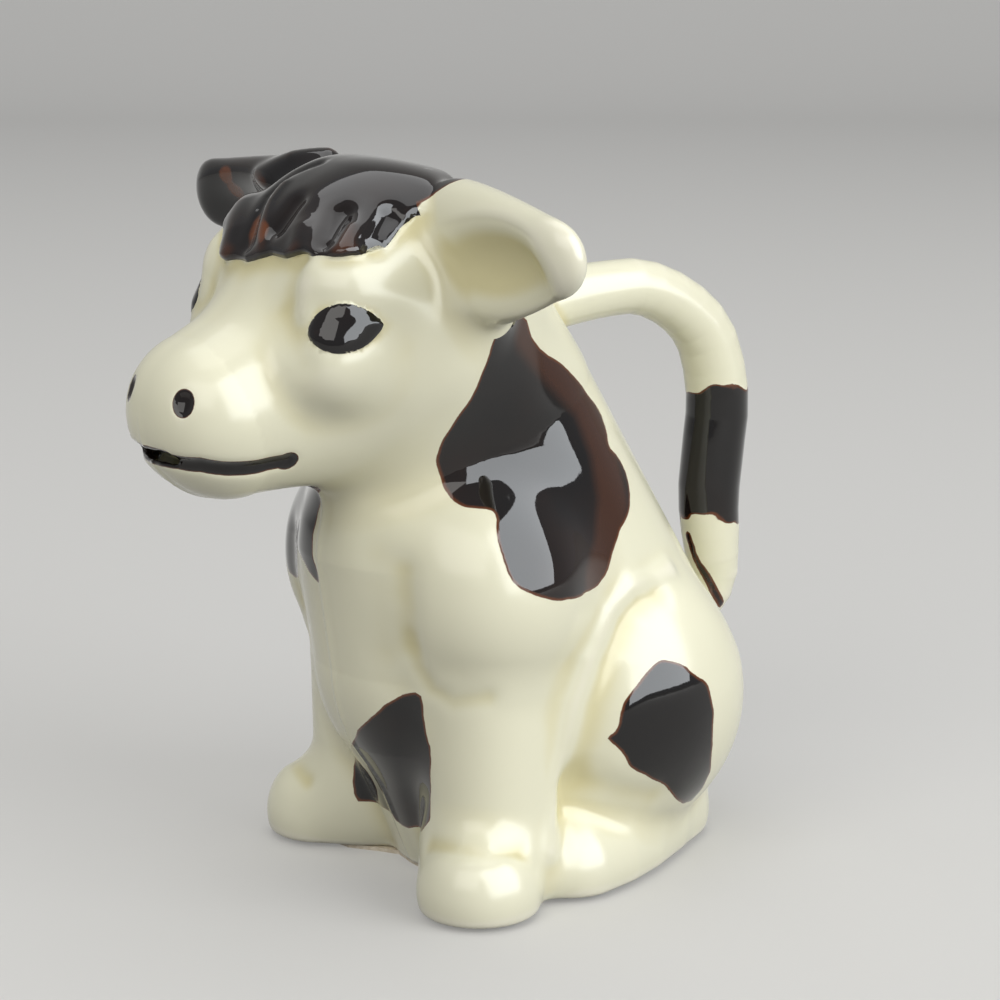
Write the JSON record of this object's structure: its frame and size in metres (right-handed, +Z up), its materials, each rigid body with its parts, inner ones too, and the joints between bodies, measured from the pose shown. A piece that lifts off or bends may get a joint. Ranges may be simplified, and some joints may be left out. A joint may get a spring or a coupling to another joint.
{
  "type": "creamer jug",
  "caption": "Hollow ceramic creamer jug in the shape of a seated calf, with its tail as the handle, filled at the crown and poured through the mouth.",
  "frame": {"origin": "middle of the part's bounding box, on the table", "axes": "+Z up, the calf looks along -Y, its left side is +X"},
  "size_m": [0.135, 0.1412, 0.1453],
  "materials": {
    "ivory_glaze": "gloss",
    "black_glaze": "gloss",
    "bare_clay": "matte"
  },
  "bodies": {
    "root": {"body_shell": "ivory_glaze", "foot_ring": "bare_clay", "head_shell": "ivory_glaze", "forelock": "black_glaze", "left_ear": "ivory_glaze", "right_ear": "black_glaze", "left_eye": "black_glaze", "right_eye": "black_glaze", "handle": "ivory_glaze", "left_forefoot": "ivory_glaze", "right_forefoot": "ivory_glaze", "left_hind_foot": "ivory_glaze", "right_hind_foot": "ivory_glaze"}
  },
  "joints": []
}
